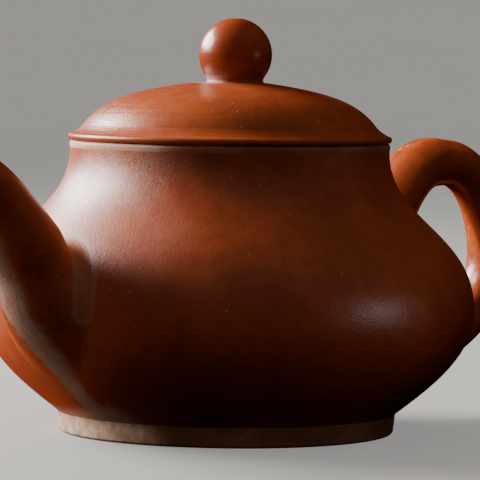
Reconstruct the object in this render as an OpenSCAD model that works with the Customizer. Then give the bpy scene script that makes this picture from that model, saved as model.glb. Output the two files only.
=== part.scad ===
// Round clay teapot: a belly on a ring foot, a bent spout with a pierced strainer behind it,
// a loop handle, and a loose lid with a ball knob.
// Sizes are in mm. The foot stands on z = 0, the spout points along -X and the handle along +X.

/* [Body] */
// Widest outside diameter of the belly
belly_d = 96.6; // [88:0.1:110]
// Height of the belly's widest line
belly_z = 24.3; // [20:0.1:29]
// Outside diameter of the neck, just under the mouth
neck_d = 62.5; // [54:0.1:72]
// Height of the mouth, where the lid rests
mouth_z = 56.8; // [50:0.1:64]
// Thickness of the wall
wall_t = 3; // [2:0.1:4]
// Thickness of the floor slab
floor_t = 3; // [2:0.1:5]
// How far the belly holds upright above its widest line
belly_pull = 15.5; // [10:0.1:18]
// How far the belly holds upright below its widest line
under_pull = 8.7; // [5:0.1:11]
// How far the neck holds upright below the mouth
neck_pull = 13.9; // [9:0.1:17]
// Slope of the underside where it meets the foot, in degrees
under_angle = 38; // [32:1:44]
// How far the underside keeps that slope
under_run = 9.2; // [6:0.1:12]

/* [Foot] */
// Outside diameter of the foot where it meets the body
foot_d = 66.4; // [58:0.1:74]
// Height of the foot
foot_h = 4; // [2.6:0.1:6]
// Width of the foot ring
foot_w = 5; // [3.5:0.1:7]
// How much the foot draws in towards the table
foot_draft = 0.4; // [0:0.1:1]
// Rounding of the foot's lower edges
foot_round = 0.7; // [0.3:0.1:1.2]

/* [Mouth] */
// Height of the strip round the mouth
rim_h = 1.5; // [1:0.1:2.4]
// How far the strip stands out from the neck
rim_proud = 0.15; // [0:0.05:0.4]
// Rounding of the strip's upper edge
rim_round = 0.8; // [0.3:0.1:0.9]

/* [Lid] */
// How far the lid stands out past the neck
lid_over = 0.45; // [0.2:0.05:1.5]
// Height of the lid's outer edge
lid_edge = 1.3; // [1:0.1:1.8]
// Rounding of the lid's outer edge
lid_edge_round = 0.45; // [0.2:0.05:0.45]
// Height of the ring that makes the lid's edge
lid_rim_h = 3; // [2.4:0.1:4]
// Width of the sloping shoulder from the lid's edge in to its dome
lid_shoulder = 3; // [2:0.1:4]
// How far that shoulder sags below a straight slope
lid_sag = 0.3; // [0:0.05:0.5]
// Height of the dome's flat top above the mouth
lid_rise = 11.4; // [9:0.1:15]
// Thickness of the dome
lid_t = 2.8; // [2:0.1:3.5]
// Slope of the dome's side, in degrees
dome_side_angle = 54; // [45:1:62]
// How far the dome's side keeps that slope
dome_side_run = 6.9; // [5:0.1:9]
// How far the dome's top runs out nearly level
dome_top_run = 10.2; // [7:0.1:12]
// Slope of the dome's top, in degrees
dome_top_angle = 8; // [4:1:12]
// How far the collar under the lid reaches into the mouth
flange_h = 7.5; // [5:0.1:11]
// Thickness of that collar
flange_t = 2.3; // [1.6:0.1:3]
// Radial play between the collar and the mouth
lid_play = 0.3; // [0.15:0.05:0.6]

/* [Knob] */
// Diameter of the ball
knob_d = 14.3; // [12.5:0.1:18]
// Diameter of the neck under the ball
knob_neck_d = 11.1; // [8:0.1:12]
// Height of that neck
knob_neck_h = 1; // [0.8:0.1:2.5]
// How far the neck spreads where it meets the lid
knob_spread = 1; // [0.4:0.1:2]
// How far the knob stands off the middle of the lid
knob_off = 0.85; // [0:0.05:1.2]
// Direction of that, in degrees round from the handle
knob_off_angle = -44; // [-180:1:180]
// Diameter of the vent through knob and lid
vent_d = 2.2; // [1.4:0.1:3.2]

/* [Spout] */
// Height at which the spout's middle line leaves the belly
spout_root_z = 28.3; // [27:0.1:30]
// Rise of the spout's middle line above its root, in degrees
spout_rise = 57; // [50:1:64]
// Slope of the root's face and of the way through the wall, in degrees
spout_root_face = 30; // [22:1:40]
// Thickness at the root, without the spread of the joint
spout_root_d = 18.5; // [17:0.1:20]
// How far the waist, where the swell of the root ends, lies out past the belly
spout_waist_out = 4.4; // [3.4:0.1:7]
// Height of the waist
spout_waist_z = 37.7; // [36.5:0.1:39.5]
// Rise of the spout at the waist, in degrees
spout_waist_angle = 50; // [44:1:56]
// Thickness at the waist
spout_waist_d = 14.9; // [13.5:0.1:16]
// How far the middle of the spout's mouth lies out past the belly
spout_reach = 21.1; // [18:0.1:26]
// Height of the middle of the spout's mouth
spout_tip_z = 52.5; // [51:0.1:55]
// Rise of the spout's middle line at its mouth, in degrees
spout_tip_angle = 18; // [8:1:35]
// Thickness at the mouth
spout_tip_d = 10.8; // [10:0.1:12]
// Slope of the mouth's face, in degrees
spout_tip_face = 42; // [30:1:50]
// Thickness of the spout's wall
spout_t = 1.8; // [1.5:0.1:2.2]

/* [Strainer] */
// Thickness of the pierced dome
strainer_t = 1.8; // [1.2:0.1:2.2]
// Room between the way into the spout and the inside of the dome
strainer_room = 0.4; // [0.2:0.1:1.5]
// Diameter of its holes
strainer_hole_d = 2.2; // [1.5:0.1:2.8]

/* [Handle] */
// Height at which the handle's middle line leaves the shoulder
handle_root_z = 38; // [36:0.1:41]
// Rise of the handle at the shoulder, in degrees
handle_rise = 63.5; // [56:0.5:68]
// How far the handle keeps that rise
handle_rise_run = 17.8; // [14:0.1:20]
// Thickness at the shoulder
handle_root_d = 12.2; // [10:0.1:13]
// How far the top of the loop lies out past the belly
handle_top_out = 12.7; // [10:0.1:16]
// Height of the middle line at the top of the loop
handle_top_z = 51.9; // [50:0.1:55]
// How far the handle runs level before its top
handle_top_run = 3.7; // [2.5:0.1:6]
// Thickness at the top
handle_top_d = 9.5; // [8:0.1:11]
// How far the middle line reaches out past the belly
handle_reach = 27.4; // [24:0.1:32]
// Height of that farthest point
handle_side_z = 32.3; // [29:0.1:36]
// Height of the middle line where it meets the belly
handle_end_z = 12; // [11:0.1:15]
// How far the handle runs level into the belly
handle_end_run = 20; // [14:0.1:24]
// Thickness at the belly
handle_end_d = 8.9; // [7:0.1:9.5]

/* [Joints] */
// Spread of the smoothed clay where spout and handle meet the body
joint_fillet = 2.6; // [1.5:0.1:3.2]
// Spread of the smoothed clay under the spout, where it is widest
spout_under_fillet = 7; // [4:0.1:8]
// Thickness of the slip between luted pieces
joint_slip = 0.06; // [0.05:0.01:0.1]

/* [Hidden] */
$fn = 96;

// Colours of the fired clay
clay = "#9a5236";
clay_pale = "#b98a68";
clay_dark = "#7d4029";

// How many steps a curve takes, and how many sides and steps a swept piece has
curve_steps = 12;
round_steps = 4;
spout_sides = 40;
spout_steps = 20;
bore_steps = 12;
handle_sides = 28;
handle_steps = 52;
seam_steps = 5;
search_steps = 24;
// How quickly a swept piece's steps widen away from its joint
spread_power = 1.3;
// Overshoot that makes a cut run clear through
cut_over = 1;

// Body heights and radii
foot_r = foot_d / 2;
belly_r = belly_d / 2;
neck_r = neck_d / 2;
mouth_r = neck_r - wall_t;
rim_r = neck_r + rim_proud;
wall_top = mouth_z - rim_h;
floor_top = foot_h + floor_t;
floor_r = foot_r - foot_w / 2;

// Lid heights and radii
lid_r = neck_r + lid_over;
flange_r = mouth_r - lid_play;
flange_bore_r = flange_r - flange_t;
dome_foot = [lid_r - lid_shoulder, mouth_z + lid_rim_h];
knob_neck_r = knob_neck_d / 2;
dome_top = [knob_neck_r + knob_spread + knob_off, mouth_z + lid_rise];
knob_r = knob_d / 2;
ball_foot_z = dome_top[1] + knob_neck_h;
ball_z = ball_foot_z + sqrt(pow(knob_r, 2) - pow(knob_neck_r, 2));
knob_x = knob_off * cos(knob_off_angle);
knob_y = knob_off * sin(knob_off_angle);
// How far the lid's upper edge is rounded over, in degrees
edge_turn = 60;
// Share of the way to the corner that a round curve's pull takes
round_pull = 0.55;

// Curves and lists of points
function unit(v) = v / norm(v);
function aim(angle) = [cos(angle), sin(angle)];
function mix(a, b, t) = a * (1 - t) + b * t;
function reversed(list) = [for (i = [len(list) - 1:-1:0]) list[i]];
function curve_at(a, b, c, d, t) =
    pow(1 - t, 3) * a + 3 * pow(1 - t, 2) * t * b + 3 * (1 - t) * pow(t, 2) * c + pow(t, 3) * d;
function curve_way(a, b, c, d, t) =
    pow(1 - t, 2) * (b - a) + 2 * (1 - t) * t * (c - b) + pow(t, 2) * (d - c);
function curve(a, b, c, d, steps) = [for (i = [0:steps]) curve_at(a, b, c, d, i / steps)];
function arc(centre, r, from, to) =
    [for (i = [0:round_steps]) centre + r * aim(mix(from, to, i / round_steps))];

// Points of a line moved sideways, to its left as it runs
function moved_left(line, by) = [
    for (i = [0:len(line) - 1])
        let (way = unit(line[min(i + 1, len(line) - 1)] - line[max(i - 1, 0)]))
        line[i] + by * [-way[1], way[0]]
];
// Radius of a line of [radius, height] points at a height
function radius_at(line, z) = lookup(z, [for (p = line) [p[1], p[0]]]);
function above(line, z) = [for (p = line) if (p[1] > z) p];

// Outside and inside lines of the body, from the foot up to the mouth
foot_corner = [foot_r, foot_h];
belly_line = [belly_r, belly_z];
neck_end = [neck_r, wall_top];
body_outside = concat(
    curve(
        foot_corner,
        foot_corner + under_run * aim(under_angle),
        belly_line - [0, under_pull],
        belly_line,
        curve_steps
    ),
    above(
        curve(
            belly_line,
            belly_line + [0, belly_pull],
            neck_end - [0, neck_pull],
            neck_end,
            2 * curve_steps
        ),
        belly_z
    )
);
body_inside = concat(
    [for (p = moved_left(body_outside, wall_t)) if (p[1] < wall_top - wall_t / 2) p],
    [[mouth_r, wall_top]]
);
cavity_foot_r = radius_at(body_inside, floor_top);
cavity_side = above(body_inside, floor_top);

function outside_r(z) = radius_at(body_outside, z);
// Distance of a point from the outside of the body, level with it
function clear(p) = norm([p[0], p[1]]) - outside_r(p[2]);
// The point beside p that lies at a given distance from the outside of the body
function beside_body(p, away) =
    let (way = unit([p[0], p[1]]) * (outside_r(p[2]) + away)) [way[0], way[1], p[2]];
// Spread of the smoothed clay at a distance from the body, a quarter circle
function spread(away, fillet) = fillet * (1 - sqrt(1 - pow(max(0, 1 - away / fillet), 2)));

// Paths of the swept pieces: chains of curves through [distance from the axis, height, thickness]
function stop(at, thickness) = [at[0], at[1], thickness];
function pull(length, angle, growth = 0) = [length * cos(angle), length * sin(angle), growth];
function straight(a, b) = [a, mix(a, b, 1 / 3), mix(a, b, 2 / 3), b];
function between(a, b) = norm([b[0] - a[0], b[1] - a[1]]);
function path_link(path, t) = min(floor(t * len(path)), len(path) - 1);
function path_at(path, t) =
    let (
        k = path_link(path, t),
        c = path[k]
    )
    curve_at(c[0], c[1], c[2], c[3], t * len(path) - k);
function path_angle(path, t) =
    let (
        k = path_link(path, t),
        c = path[k],
        way = curve_way(c[0], c[1], c[2], c[3], t * len(path) - k)
    )
    atan2(way[1], way[0]);
// A point round a path, at a turn and a radius. The path lies on the -X or the +X side.
function round_path(at, angle, facing, turn, r) = [
    facing * (at[0] - r * cos(turn) * sin(angle)),
    facing * r * sin(turn),
    at[1] + r * cos(turn) * cos(angle)
];

// Triangles between rings of points, each ring with the same number of sides
function band(a, b, sides) = [
    for (j = [0:sides - 1])
        let (k = (j + 1) % sides)
        each [[a + j, b + k, b + j], [a + j, a + k, b + k]]
];
function fan(centre, ring, sides, at_start) = [
    for (j = [0:sides - 1])
        let (k = (j + 1) % sides)
        at_start ? [centre, ring + k, ring + j] : [centre, ring + j, ring + k]
];

// Spout: a swollen root, a waist and a mouth that levels out
spout_facing = -1;
spout_root = stop([outside_r(spout_root_z), spout_root_z], spout_root_d);
spout_waist = [belly_r + spout_waist_out, spout_waist_z, spout_waist_d];
spout_tip = [belly_r + spout_reach, spout_tip_z, spout_tip_d];
root_run = between(spout_root, spout_waist) / 3;
neck_run = between(spout_waist, spout_tip) / 3;
neck_growth = (spout_tip_d - spout_waist_d) / 3;
waist_growth = neck_growth * root_run / neck_run;
// Share of the swell that the root loses at once
swell_loss = 0.6;
swell_growth = swell_loss * (spout_waist_d - spout_root_d);
// The path starts inside the pot, so that every side of the spout leaves the wall
spout_start = spout_root - pull(spout_root_d, spout_root_face);
spout_path = [
    straight(spout_start, spout_root),
    [
        spout_root,
        spout_root + pull(root_run, spout_rise, swell_growth),
        spout_waist - pull(root_run, spout_waist_angle, waist_growth),
        spout_waist
    ],
    [
        spout_waist,
        spout_waist + pull(neck_run, spout_waist_angle, neck_growth),
        spout_tip - pull(neck_run, spout_tip_angle, neck_growth),
        spout_tip
    ]
];
// Slopes of the sections at the ends of the path's curves
spout_faces = [
    [0, spout_root_face],
    [1 / 3, spout_root_face],
    [2 / 3, spout_waist_angle],
    [1, spout_tip_face]
];
function spout_skin(t, turn, growth = 0) =
    let (at = path_at(spout_path, t))
    round_path(at, lookup(t, spout_faces), spout_facing, turn, at[2] / 2 + growth);
// Where a side of the spout, or of the way in it, comes out of the body, found by halving
function spout_exit(turn, growth = 0, low = 0, high = 1, left = search_steps) =
    let (middle = (low + high) / 2)
    left == 0 ? middle
    : clear(spout_skin(middle, turn, growth)) > joint_slip
        ? spout_exit(turn, growth, low, middle, left - 1)
        : spout_exit(turn, growth, middle, high, left - 1);
// How far the joint reaches, widest under the spout
function spout_fillet(turn) =
    mix(joint_fillet, spout_under_fillet, pow((1 - cos(turn)) / 2, 2));
// The outside of the spout, spread where it is near the body
function spout_outside(t, turn) =
    let (
        p = spout_skin(t, turn),
        away = max(joint_slip, clear(p)),
        fillet = spout_fillet(turn)
    )
    away > fillet ? p : beside_body(spout_skin(t, turn, spread(away, fillet)), away);
function spout_turn(j) = 360 * j / spout_sides;
spout_exits = [for (j = [0:spout_sides - 1]) spout_exit(spout_turn(j))];
bore_exits = [for (j = [0:spout_sides - 1]) spout_exit(spout_turn(j), -spout_t)];
spout_outer_rings = [
    for (i = [0:spout_steps])
        [
            for (j = [0:spout_sides - 1])
                spout_outside(mix(spout_exits[j], 1, pow(i / spout_steps, spread_power)), spout_turn(j))
        ]
];
// The rounded lip, half a circle from the outside to the way inside
lip_r = spout_t / 2;
lip_middle_r = spout_tip_d / 2 - lip_r;
spout_lip_rings = [
    for (i = [1:round_steps - 1])
        let (
            around = lip_r * aim(180 * i / round_steps),
            at = spout_tip + pull(around[1], spout_tip_face)
        )
        [
            for (j = [0:spout_sides - 1])
                round_path(at, spout_tip_face, spout_facing, spout_turn(j), lip_middle_r + around[0])
        ]
];
spout_bore_rings = [
    for (i = [0:bore_steps])
        [
            for (j = [0:spout_sides - 1])
                spout_skin(mix(1, bore_exits[j], i / bore_steps), spout_turn(j), -spout_t)
        ]
];
spout_seam_rings = [
    for (i = [1:seam_steps])
        [
            for (j = [0:spout_sides - 1])
                let (
                    bored = spout_bore_rings[bore_steps][j],
                    skin = spout_outer_rings[0][j]
                )
                beside_body(mix(bored, skin, i / (seam_steps + 1)), joint_slip)
        ]
];
spout_rings = concat(spout_outer_rings, spout_lip_rings, spout_bore_rings, spout_seam_rings);

// Strainer: a dome on the inside of the wall, round the way into the spout
way_r = spout_root_d / 2 - spout_t;
wall_lean = -atan2(outside_r(spout_root_z + 1) - outside_r(spout_root_z - 1), 2);
way_skew = spout_root_face - wall_lean;
strainer_at = spout_root - pull(wall_t / cos(way_skew), spout_root_face);
strainer_inner_r = way_r / cos(way_skew) + strainer_room;
strainer_r = strainer_inner_r + strainer_t;
// The holes start a little inside the dome, where they lie clear of each other
hole_start = strainer_inner_r - strainer_t;
// Angles between the dome's axis and its rings of holes, and the number of holes in each ring
strainer_rings = [[0, 1], [25, 6], [48, 12]];

// Handle: up from the shoulder, over the top, down the side and in to the belly
handle_facing = 1;
handle_side_d = (handle_top_d + handle_end_d) / 2;
handle_root = stop([outside_r(handle_root_z), handle_root_z], handle_root_d);
handle_top = [belly_r + handle_top_out, handle_top_z, handle_top_d];
handle_side = [belly_r + handle_reach, handle_side_z, handle_side_d];
handle_end = stop([outside_r(handle_end_z), handle_end_z], handle_end_d);
over_run = round_pull * (handle_reach - handle_top_out);
down_run = round_pull * (handle_top_z - handle_side_z);
under_bend = round_pull * (handle_side_z - handle_end_z);
thinning = (handle_root_d - handle_top_d) / 3;
handle_path = [
    straight(handle_root - pull(handle_root_d, handle_rise), handle_root),
    [
        handle_root,
        handle_root + pull(handle_rise_run, handle_rise, -thinning),
        handle_top - pull(handle_top_run, 0, -thinning),
        handle_top
    ],
    [
        handle_top,
        handle_top + pull(over_run, 0),
        handle_side + pull(down_run, 90),
        handle_side
    ],
    [
        handle_side,
        handle_side - pull(under_bend, 90),
        handle_end + pull(handle_end_run, 0),
        handle_end
    ],
    straight(handle_end, handle_end - pull(handle_end_d, 0))
];
function handle_skin(t, turn, growth = 0) =
    let (at = path_at(handle_path, t))
    round_path(at, path_angle(handle_path, t), handle_facing, turn, at[2] / 2 + growth);
// Where a side of the handle leaves the body, between a place inside it and a place outside it
function handle_exit(turn, hidden, shown, left = search_steps) =
    let (middle = (hidden + shown) / 2)
    left == 0 ? middle
    : clear(handle_skin(middle, turn)) > joint_slip
        ? handle_exit(turn, hidden, middle, left - 1)
        : handle_exit(turn, middle, shown, left - 1);
function handle_outside(t, turn) =
    let (
        p = handle_skin(t, turn),
        away = max(joint_slip, clear(p))
    )
    away > joint_fillet ? p : beside_body(handle_skin(t, turn, spread(away, joint_fillet)), away);
function handle_turn(j) = 360 * j / handle_sides;
// Steps along the handle, closer together near its two joints
function both_ends(s) =
    s < 0.5 ? pow(2 * s, spread_power) / 2 : 1 - pow(2 - 2 * s, spread_power) / 2;
handle_exits = [
    for (j = [0:handle_sides - 1])
        [handle_exit(handle_turn(j), 0, 0.5), handle_exit(handle_turn(j), 1, 0.5)]
];
handle_skin_rings = [
    for (i = [0:handle_steps])
        [
            for (j = [0:handle_sides - 1])
                let (ends = handle_exits[j])
                handle_outside(mix(ends[0], ends[1], both_ends(i / handle_steps)), handle_turn(j))
        ]
];
// Middle of a ring of points, laid against the body
function mean(ring) = [for (p = ring) 1 / len(ring)] * ring;
function ring_middle(ring) = beside_body(mean(ring), joint_slip);
// The joint face: rings that close in from the edge of a joint to its middle
function joint_rings(ring) =
    let (middle = ring_middle(ring))
    [
        for (i = [1:seam_steps])
            [for (p = ring) beside_body(mix(middle, p, i / (seam_steps + 1)), joint_slip)]
    ];
handle_first = handle_skin_rings[0];
handle_last = handle_skin_rings[handle_steps];
handle_rings = concat(joint_rings(handle_first), handle_skin_rings, reversed(joint_rings(handle_last)));

// A line of [radius, height] points turned round the axis
module turned(points) {
    rotate_extrude() polygon(points);
}

// A straight hole down through the knob, its neck and the lid
module vent() {
    translate([knob_x, knob_y, mouth_z])
        cylinder(h = ball_z + knob_r - mouth_z + cut_over, d = vent_d);
}

// A straight way along the spout's root, from inside the pot out through the wall
module spout_way() {
    translate([-spout_root[0], 0, spout_root[1]])
        rotate([0, spout_root_face - 90, 0])
            cylinder(h = spout_root_d, r = way_r, center = true);
}

module body_wall() {
    color(clay) difference() {
        turned(concat(
            body_outside,
            reversed(cavity_side),
            [[cavity_foot_r, floor_top], [floor_r, floor_top], [floor_r, foot_h]]
        ));
        spout_way();
    }
}

module base_disc() {
    color(clay_dark) translate([0, 0, foot_h]) cylinder(h = floor_t, r = floor_r);
}

module foot_ring() {
    low_r = foot_r - foot_draft;
    inner_r = foot_r - foot_w;
    color(clay_pale) turned(concat(
        [[inner_r, foot_h]],
        arc([inner_r + foot_round, foot_round], foot_round, 180, 270),
        arc([low_r - foot_round, foot_round], foot_round, -90, 0),
        [[foot_r, foot_h]]
    ));
}

module mouth_rim() {
    color(clay_pale) turned(concat(
        [[mouth_r, wall_top], [neck_r, wall_top]],
        arc([rim_r - rim_round, mouth_z - rim_round], rim_round, 0, 90),
        [[mouth_r, mouth_z]]
    ));
}

module spout() {
    count = len(spout_rings);
    color(clay) polyhedron(
        points = [for (ring = spout_rings) each ring],
        faces = [
            for (i = [0:count - 1])
                each band(i * spout_sides, (i + 1) % count * spout_sides, spout_sides)
        ]
    );
}

module strainer() {
    color(clay_dark) intersection() {
        translate([-strainer_at[0], 0, strainer_at[1]])
            rotate([0, 90 + wall_lean, 0])
                difference() {
                    sphere(r = strainer_r);
                    sphere(r = strainer_inner_r);
                    for (ring = strainer_rings)
                        for (i = [0:ring[1] - 1])
                            rotate([0, 0, 360 * i / ring[1]])
                                rotate([0, ring[0], 0])
                                    translate([0, 0, hole_start])
                                        cylinder(h = strainer_r, d = strainer_hole_d);
                }
        turned(concat([[0, floor_top], [cavity_foot_r, floor_top]], cavity_side, [[0, wall_top]]));
    }
}

module handle() {
    count = len(handle_rings);
    middle = count * handle_sides;
    color(clay) polyhedron(
        points = concat(
            [for (ring = handle_rings) each ring],
            [ring_middle(handle_first), ring_middle(handle_last)]
        ),
        faces = concat(
            [for (i = [0:count - 2]) each band(i * handle_sides, (i + 1) * handle_sides, handle_sides)],
            fan(middle, 0, handle_sides, true),
            fan(middle + 1, (count - 1) * handle_sides, handle_sides, false)
        )
    );
}

module lid_cap() {
    outside = curve(
        dome_foot,
        dome_foot + dome_side_run * aim(180 - dome_side_angle),
        dome_top + dome_top_run * aim(-dome_top_angle),
        dome_top,
        2 * curve_steps
    );
    inside = moved_left(outside, lid_t);
    inner_top = dome_top[1] - lid_t;
    color(clay) difference() {
        turned(concat(
            outside,
            [[0, dome_top[1]], [0, inner_top]],
            [for (p = reversed(above(inside, dome_foot[1]))) if (p[1] < inner_top) p],
            [[radius_at(inside, dome_foot[1]), dome_foot[1]]]
        ));
        vent();
    }
}

module lid_rim() {
    edge_top = mouth_z + lid_edge;
    round_r = lid_r - lid_edge_round;
    edge_upper = arc([round_r, edge_top - lid_edge_round], lid_edge_round, 0, edge_turn);
    edge_end = edge_upper[round_steps];
    sag = [0, lid_sag];
    shoulder = curve(
        edge_end,
        mix(edge_end, dome_foot, 1 / 3) - sag,
        mix(edge_end, dome_foot, 2 / 3) - sag,
        dome_foot,
        round_steps
    );
    color(clay) turned(concat(
        [[flange_bore_r, mouth_z]],
        arc([round_r, mouth_z + lid_edge_round], lid_edge_round, -90, 0),
        edge_upper,
        shoulder,
        [[flange_bore_r, dome_foot[1]]]
    ));
}

module lid_flange() {
    low_z = mouth_z - flange_h;
    edge = flange_t / 4;
    color(clay_pale) turned([
        [flange_bore_r, mouth_z],
        [flange_bore_r, low_z + edge],
        [flange_bore_r + edge, low_z],
        [flange_r - edge, low_z],
        [flange_r, low_z + edge],
        [flange_r, mouth_z]
    ]);
}

module knob_neck() {
    foot = [knob_neck_r + knob_spread, dome_top[1]];
    top = [knob_neck_r, ball_foot_z];
    corner = [top[0], foot[1]];
    color(clay_pale) difference() {
        translate([knob_x, knob_y, 0])
            turned(concat(
                [[0, foot[1]]],
                curve(foot, mix(foot, corner, round_pull), mix(top, corner, round_pull), top, curve_steps),
                [[0, ball_foot_z]]
            ));
        vent();
    }
}

module knob() {
    color(clay) difference() {
        translate([knob_x, knob_y, ball_z]) sphere(r = knob_r);
        translate([0, 0, ball_foot_z - knob_d]) cylinder(h = knob_d, r = knob_d);
        vent();
    }
}

body_wall();
base_disc();
foot_ring();
mouth_rim();
spout();
strainer();
handle();
lid_cap();
lid_rim();
lid_flange();
knob_neck();
knob();
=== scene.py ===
"""Round unglazed clay teapot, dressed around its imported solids."""

import logging
import math
from collections.abc import Callable
from dataclasses import dataclass, field, replace
from enum import Enum

import bmesh
import bpy
import numpy as np
from mathutils import Matrix, Vector


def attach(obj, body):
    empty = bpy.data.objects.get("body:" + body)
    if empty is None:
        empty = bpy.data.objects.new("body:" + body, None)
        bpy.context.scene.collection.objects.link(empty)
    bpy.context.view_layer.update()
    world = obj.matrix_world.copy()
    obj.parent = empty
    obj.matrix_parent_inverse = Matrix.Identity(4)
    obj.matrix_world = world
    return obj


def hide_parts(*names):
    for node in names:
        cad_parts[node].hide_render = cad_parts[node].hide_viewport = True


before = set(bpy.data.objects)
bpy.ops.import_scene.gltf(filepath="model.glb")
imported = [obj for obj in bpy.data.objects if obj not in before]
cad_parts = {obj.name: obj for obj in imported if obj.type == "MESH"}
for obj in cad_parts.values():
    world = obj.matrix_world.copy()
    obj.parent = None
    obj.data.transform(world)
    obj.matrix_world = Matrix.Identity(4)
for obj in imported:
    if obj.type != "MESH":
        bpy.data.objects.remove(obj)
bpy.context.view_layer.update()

MM = 0.001
FAR = 99.0
TOUCH = 1e-6
WELD_GAP = 2e-6
EDGE_ANGLE = 38.0
log = logging.getLogger("teapot")

Colour = tuple[float, float, float]
Point = tuple[float, float, float]
Pair = tuple[float, float]
Piece = bpy.types.Object
Socket = bpy.types.NodeSocket
Array = np.ndarray
Knots = list[Array]


class Side(Enum):
    """Which way along X a luted piece stands out from the pot."""

    SPOUT = -1
    HANDLE = 1


class Tone(Enum):
    """The record's slot name that a clay finish is labelled with; no code here reads it."""

    BURNISHED = "clay"
    RUBBED = "clay_bare"
    INSIDE = "clay_inside"


class Ride(Enum):
    """The body that a piece moves with."""

    POT = "pot"
    LID = "lid"


def aim(angle: float) -> Array:
    """A flat direction at an angle in degrees."""
    return np.array([math.cos(math.radians(angle)), math.sin(math.radians(angle))])


def pull(length: float, angle: float, growth: float = 0.0) -> Array:
    """A step along a tube's path: a length at an angle, with a growth in thickness."""
    return np.array([*(length * aim(angle)), growth])


def curve_at(knots: Knots, t: Array) -> Array:
    """Points of a smooth curve.

    Args:
        knots: Its control points.
        t: Shares of the run, from 0 to 1.

    Returns:
        One point a row.
    """
    s = np.asarray(t, float)[:, None]
    n = len(knots) - 1
    return sum(math.comb(n, k) * (1 - s) ** (n - k) * s**k * knots[k] for k in range(n + 1))


def curve_way(knots: Knots, t: Array) -> Array:
    """Directions of a smooth curve at shares of its run, not of unit length."""
    return curve_at(np.diff(knots, axis=0), t)


def curve(knots: Knots, steps: int) -> Array:
    """Points of a smooth curve at even shares of its run."""
    return curve_at(knots, np.linspace(0, 1, steps + 1))


def straight(a: Array, b: Array) -> Knots:
    """Control points of a straight run from one point to another."""
    return [a, (2 * a + b) / 3, (a + 2 * b) / 3, b]


def turns(sides: int) -> Array:
    """The angles of a round piece's sides, in radians."""
    return np.linspace(0, 2 * math.pi, sides, endpoint=False)


def arc(middle: Pair, r: float, first: float, last: float, steps: int = 8) -> Array:
    """Points of a circular arc in a section, from one angle in degrees to another."""
    return np.array([np.array(middle) + r * aim(a) for a in np.linspace(first, last, steps + 1)])


def moved_left(line: Array, by: float) -> Array:
    """A line of section points moved to its left as it runs.

    Args:
        line: Points, one a row.
        by: How far it moves.

    Returns:
        The moved points.
    """
    way = np.gradient(line, axis=0)
    way /= np.linalg.norm(way, axis=1)[:, None]
    return line + by * np.stack([-way[:, 1], way[:, 0]], axis=1)


def joined(*lines: Array) -> Array:
    """Several runs of points as one closed loop, without repeated points.

    Args:
        lines: The runs, in order.

    Returns:
        The loop's points, one a row.
    """
    loop = np.concatenate([np.atleast_2d(np.asarray(line, float)) for line in lines])
    step = np.linalg.norm(loop - np.roll(loop, 1, axis=0), axis=1)
    return loop[step > TOUCH]


def along(points: Array) -> Array:
    """Length of the way from the first point of a line to each of its points."""
    step = np.linalg.norm(np.diff(points, axis=0), axis=-1)
    return np.concatenate([np.zeros((1, *step.shape[1:])), np.cumsum(step, axis=0)])


def ring_mesh(name: str, rings: Array, lay: Array, is_loop: bool = True) -> Piece:
    """A mesh skinned over a stack of rings.

    Args:
        name: Name of the piece.
        rings: Points in mm, as rings by sides by 3.
        lay: The direction that the burnishing took, as a vector for each point.
        is_loop: Whether the last ring joins the first. If not, both ends are closed by a fan.

    Returns:
        The new piece, in metres.
    """
    count, sides = rings.shape[:2]
    points = rings.reshape(-1, 3)
    lays = lay.reshape(-1, 3)
    first = np.arange(count if is_loop else count - 1)[:, None] * sides
    here = np.arange(sides)[None, :]
    beside = (here + 1) % sides
    after = (first + sides) % (count * sides)
    faces = np.stack([first + here, first + beside, after + beside, after + here], axis=-1)
    corners = rings[first[:, 0] // sides]
    following = rings[after[:, 0] // sides]
    across = np.cross(np.roll(corners, -1, axis=1) - corners, following - corners)
    is_inside_out = np.sum(across * corners) < 0
    faces = faces.reshape(-1, 4).tolist()
    if not is_loop:
        points = np.concatenate([points, [rings[0].mean(axis=0), rings[-1].mean(axis=0)]])
        lays = np.concatenate([lays, lays[:1], lays[-1:]])
        low, high = count * sides, count * sides + 1
        last = (count - 1) * sides
        for j in range(sides):
            k = (j + 1) % sides
            faces.append([low, k, j])
            faces.append([high, last + j, last + k])
    if is_inside_out:
        faces = [face[::-1] for face in faces]
    mesh = bpy.data.meshes.new(name)
    mesh.from_pydata((points * MM).tolist(), [], faces)
    kept = mesh.attributes.new("lay", "FLOAT_VECTOR", "POINT")
    kept.data.foreach_set("vector", lays.astype(np.float32).ravel())
    piece = bpy.data.objects.new(name, mesh)
    bpy.context.scene.collection.objects.link(piece)
    return piece


def note(piece: Piece, name: str, values: Array) -> None:
    """Keep a named number for each point of a piece, for its finish to read."""
    kept = piece.data.attributes.new(name, "FLOAT", "POINT")
    kept.data.foreach_set("value", np.asarray(values, np.float32).ravel())


def weld(mesh: bpy.types.Mesh) -> None:
    """Join points of a mesh that lie on each other, and drop the faces that this closes.

    Args:
        mesh: The mesh.
    """
    work = bmesh.new()
    work.from_mesh(mesh)
    bmesh.ops.remove_doubles(work, verts=work.verts, dist=WELD_GAP)
    bmesh.ops.dissolve_degenerate(work, edges=work.edges, dist=WELD_GAP)
    work.to_mesh(mesh)
    work.free()


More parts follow.
